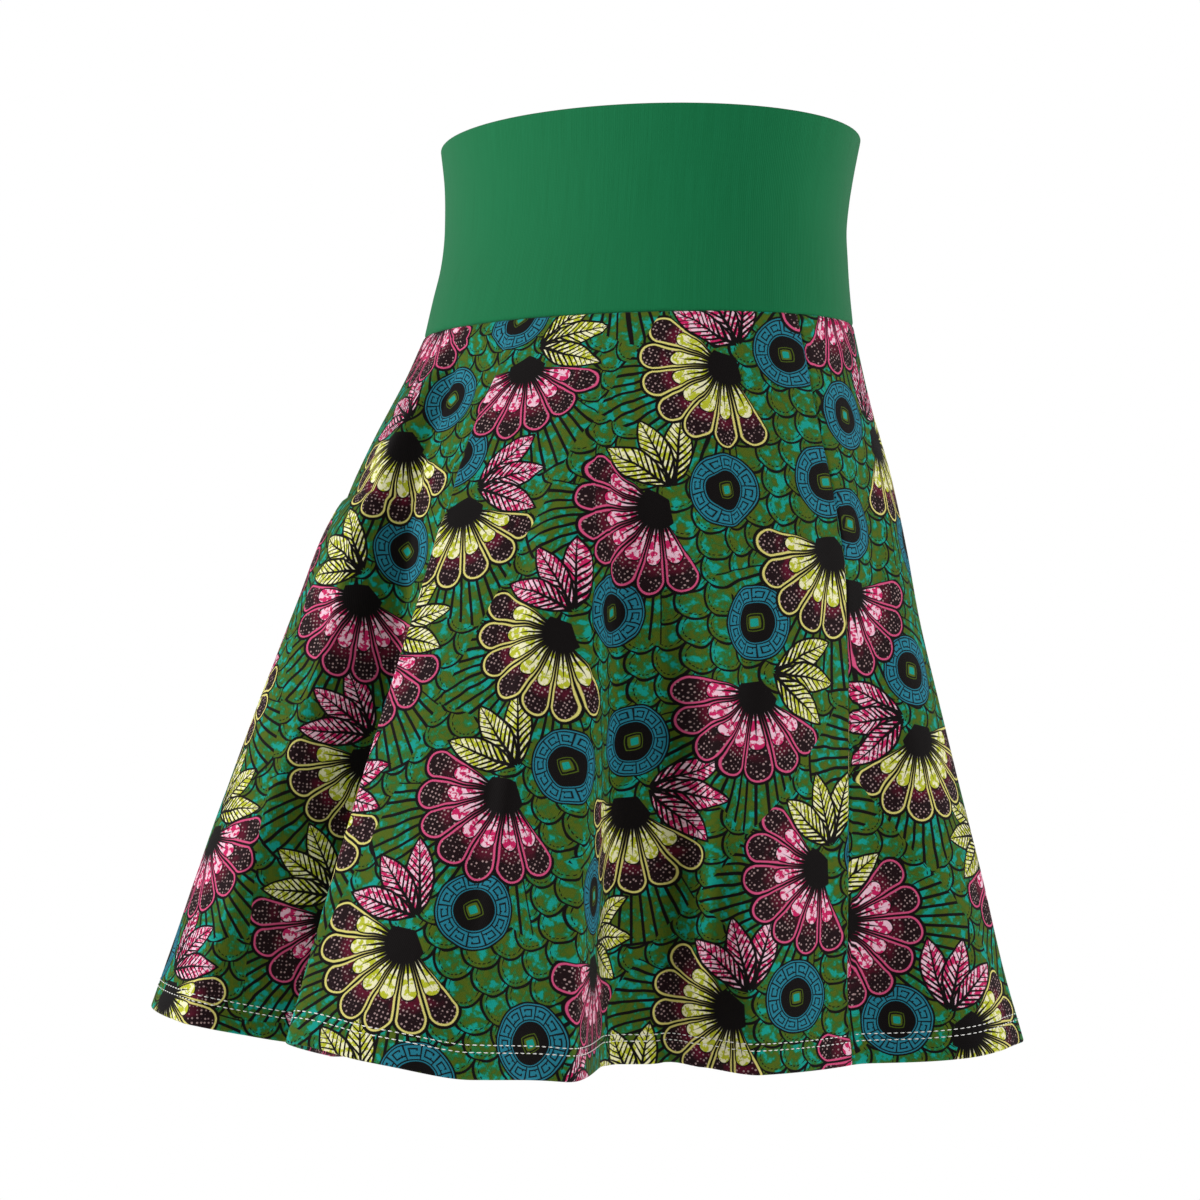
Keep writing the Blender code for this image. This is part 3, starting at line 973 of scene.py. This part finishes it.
def finished(name, colour, knit):
    """A material with a knit's fine bump. Its colour is fixed, or a function of the place on the cut."""
    material = bpy.data.materials.new(name)
    material.use_nodes = True
    tree = material.node_tree
    shader = tree.nodes["Principled BSDF"]
    set_sockets(shader, {"Roughness": knit.roughness, "Specular IOR Level": KNIT_GLOSS})
    set_sockets(shader, {"Sheen Weight": knit.sheen, "Sheen Roughness": SHEEN_ROUGHNESS})
    cut = Shade(tree).node("UVMap", {"uv_map": "cut"})
    if callable(colour):
        tree.links.new(colour(cut).socket, shader.inputs["Base Color"])
    else:
        shader.inputs["Base Color"].default_value = colour
    rib = abs(cut.maths("SINE", cut.part(0) * (pi / knit.wale)))
    loop = abs(cut.maths("SINE", cut.part(1) * (pi / knit.course)))
    height = rib * RIB_SHARE + rib * loop * (1 - RIB_SHARE)
    relief = {"Strength": BUMP_STRENGTH, "Distance": knit.bump_depth, "Height": height}
    bump = height.node("Bump", None, relief)
    tree.links.new(bump.socket, shader.inputs["Normal"])
    return material


print("A knit is given by its", *Knit._fields)

# %% Materials
BAND_STREAKS = (900, 25, 1)


def band_colour(cut):
    """Plain green with faint lighter and darker wales."""
    stretched = cut.node("Mapping", None, {0: cut, 3: BAND_STREAKS})
    streak = stretched.noise(1.0)
    return streak.over(0.5, 0.5).blend(dye("0a653a"), dye("0f6b40"))


def reverse_colour(cut):
    """The pale wrong side, with a ghost of the print's weight."""
    ghost = cut.noise(DRIFTS)
    return ghost.over(0.5, 0.4).blend(dye("dcdcd2"), dye("c3cdc0"))


printed_knit = finished("printed_knit", printed_colour, Knit(0.75, 0.04, 0.0009, 0.0008, 0.00012))
knit_reverse = finished("knit_reverse", reverse_colour, Knit(0.85, 0.10, 0.0009, 0.0008, 0.00015))
green_knit = finished("green_knit", band_colour, Knit(0.75, 0.13, 0.0010, 0.0008, 0.00012))
white_thread = finished("white_thread", dye("ecebe6"), Knit(0.6, 0.2, 0.0009, 0.0009, 0.00002))
for cloth in (printed_knit, knit_reverse, green_knit, white_thread):
    print(cloth.name, "has", len(cloth.node_tree.nodes), "nodes")

# %% [markdown]
# ## The three cloths
# Each shell takes the place of its CAD solid, which is hidden, and hangs from the root body.

# %% Panels and band
band = cloth_piece("waistband_cloth", waistband_points, waistband_cut, BAND_KNIT, green_knit, green_knit)
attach(band, "root")
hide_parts("waistband")

panels = {}
for name, points in panel_points.items():
    panel = cloth_piece(f"{name}_cloth", points, panel_cuts[name], CLOTH, printed_knit, knit_reverse)
    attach(panel, "root")
    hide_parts(name)
    panels[name] = panel

# %% [markdown]
# ## Hem stitches
# A twin-needle machine sews the hem: two rows of short white stitches outside. Each stitch is a small
# stretched icosphere, laid along the row and sunk a little into the cloth.

# %% Places for the stitches
STITCH_PITCH = 0.0033
SEAM_TO_FIRST = 0.004
SEAM_TO_LAST = 0.003
A_LITTLE_AHEAD = 0.0005


def row_frames(face, up):
    """Middle, direction along the hem, and outward normal of each stitch of a row this far up."""
    step = (CLOTH_LENGTH - up) / CLOTH_LENGTH * FINE_STEPS
    rows = rows_at(face, np.array([step - 1, step, step + 1]))
    normals = outward(rows)[1]
    line = rows[1]
    along = lengths_along(line)
    places = np.arange(SEAM_TO_FIRST, along[-1] - SEAM_TO_LAST, STITCH_PITCH)
    middles = points_along(line, along, places)
    ahead = points_along(line, along, places + A_LITTLE_AHEAD)
    return middles, ahead - middles, points_along(normals, along, places)


print("Stitches to a metre of hem:", round(1 / STITCH_PITCH))

# %% Twin-needle stitches
STITCH_LONG = 0.0026
STITCH_WIDE = 0.00062
STITCH_HIGH = 0.00042
STITCH_LIFT = 0.0001
ICOSPHERE_FACES = 20


def sewn_rows(name, face):
    """Both rows of stitches on one panel, as one mesh."""
    thread = bmesh.new()
    for up in STITCH_ROWS:
        for middle, direction, facing in zip(*row_frames(face, up)):
            out = Vector(facing).normalized()
            along = Vector(direction).normalized()
            upwards = out.cross(along).normalized()
            axes = Matrix((along * STITCH_LONG, upwards * STITCH_WIDE, out * STITCH_HIGH)).transposed()
            place = Matrix.Translation(Vector(middle) + out * STITCH_LIFT) @ axes.to_4x4()
            bmesh.ops.create_icosphere(thread, subdivisions=1, radius=0.5, matrix=place)
    mesh = bpy.data.meshes.new(name)
    bmesh.ops.recalc_face_normals(thread, faces=thread.faces)
    thread.to_mesh(mesh)
    thread.free()
    mesh.shade_smooth()
    mesh.materials.append(white_thread)
    print(name, "has", len(mesh.polygons) // ICOSPHERE_FACES, "stitches")
    return in_scene(name, mesh)


stitches = {}
for name, face in panel_faces.items():
    stitches[name] = sewn_rows(f"{name}_hem_stitches", face)
    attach(stitches[name], "root")

# %% [markdown]
# ## The cut of each cloth
# The size each cloth was cut to, before it was sewn and worn, is measured from its flat grid, and the areas
# are added up. A panel's cut is a sector of a ring.

# %% Cut sizes
width, length, area = cut_size(waistband_cut)
whole_area = area
for name, panel in panels.items():
    width, length, area = cut_size(panel_cuts[name])
    whole_area += area
print("Cloth in all: %.3f m2" % whole_area)

# %% [markdown]
# ## Studio
# White paper below and a white sky, both dimmed as lights but plain white to the camera, so the skirt
# stands free. A strong soft light comes from the left, which shades the folds, a weaker one from the
# right, and a last one brushes the right edge. The camera looks level at the skirt from behind the
# wearer's right hip.

# %% White for the camera
WHITE = (1, 1, 1, 1)
DIMMED = 0.2


def white_for_camera(tree, shader, output, kind):
    """Keeps a shader's light on the skirt, while the camera itself sees plain white."""
    white = tree.nodes.new(kind)
    white.inputs["Color"].default_value = WHITE
    path = tree.nodes.new("ShaderNodeLightPath")
    choose = tree.nodes.new("ShaderNodeMixShader")
    tree.links.new(path.outputs["Is Camera Ray"], choose.inputs[0])
    tree.links.new(shader.outputs[0], choose.inputs[1])
    tree.links.new(white.outputs[0], choose.inputs[2])
    tree.links.new(choose.outputs[0], output.inputs["Surface"])


print("Paper and sky glow at", DIMMED, "of full white")

# %% Floor and sky
FLOOR_HEIGHT = -0.95
FLOOR_SIZE = 12
PAPER_WHITE = (0.92, 0.92, 0.92, 1)
PAPER_ROUGHNESS = 0.9

floor_mesh = bpy.data.meshes.new("floor")
floor_grid = bmesh.new()
floor_place = Matrix.Translation((0, 0, FLOOR_HEIGHT))
bmesh.ops.create_grid(floor_grid, x_segments=1, y_segments=1, size=FLOOR_SIZE, matrix=floor_place)
floor_grid.to_mesh(floor_mesh)
floor_grid.free()
paper = bpy.data.materials.new("paper")
paper.use_nodes = True
paper_tree = paper.node_tree
paper_shader = paper_tree.nodes["Principled BSDF"]
set_sockets(paper_shader, {"Base Color": PAPER_WHITE, "Roughness": PAPER_ROUGHNESS})
set_sockets(paper_shader, {"Emission Color": WHITE, "Emission Strength": DIMMED})
white_for_camera(paper_tree, paper_shader, paper_tree.nodes["Material Output"], "ShaderNodeEmission")
floor_mesh.materials.append(paper)
floor = in_scene("floor", floor_mesh)

world = bpy.data.worlds.new("studio")
world.use_nodes = True
sky = world.node_tree.nodes["Background"]
set_sockets(sky, {"Color": WHITE, "Strength": DIMMED})
white_for_camera(world.node_tree, sky, world.node_tree.nodes["World Output"], "ShaderNodeBackground")
bpy.context.scene.world = world
print("The floor lies", round(WAIST_SEAM - FLOOR_HEIGHT, 3), "m below the waist seam")

# %% Lamps
CAMERA_AZIMUTH = 50
CAMERA_HEIGHT = -0.195
LAMP_AWAY = 2.2
LAMP_SIZE = 1.4
Lamp = namedtuple("Lamp", "name from_camera height power")
LAMPS = (Lamp("key", -74, 0.6, 53), Lamp("fill", 56, 0.6, 29), Lamp("rim", 105, 0.3, 10))


def softbox(lamp):
    """A square area light on a circle round the skirt, turned to its middle."""
    source = bpy.data.lights.new(lamp.name, "AREA")
    source.size = LAMP_SIZE
    source.energy = lamp.power
    azimuth = radians(CAMERA_AZIMUTH + lamp.from_camera)
    place = Vector((-LAMP_AWAY * sin(azimuth), LAMP_AWAY * cos(azimuth), lamp.height))
    light = in_scene(lamp.name, source)
    light.location = place
    light.rotation_euler = (Vector((0, 0, CAMERA_HEIGHT)) - place).to_track_quat("-Z", "Y").to_euler()


for lamp in LAMPS:
    softbox(lamp)
    print(lamp.name, "lamp:", lamp.power, "W,", lamp.from_camera, "degrees round from the camera")

# %% Camera
CAMERA_AWAY = 1.455
CAMERA_ASIDE = 0.022
CAMERA_LENS = 80.55
SENSOR_WIDE = 36

towards = Vector((-sin(radians(CAMERA_AZIMUTH)), cos(radians(CAMERA_AZIMUTH)), 0))
right = Vector((-cos(radians(CAMERA_AZIMUTH)), -sin(radians(CAMERA_AZIMUTH)), 0))
lens = bpy.data.cameras.new("camera")
lens.lens = CAMERA_LENS
lens.sensor_width = SENSOR_WIDE
camera = in_scene("camera", lens)
camera.location = towards * CAMERA_AWAY - right * CAMERA_ASIDE + Vector((0, 0, CAMERA_HEIGHT))
camera.rotation_euler = (-towards).to_track_quat("-Z", "Y").to_euler()
bpy.context.scene.camera = camera
bpy.context.scene.view_settings.view_transform = "Standard"
print("Camera at", *(round(c, 3) for c in camera.location))
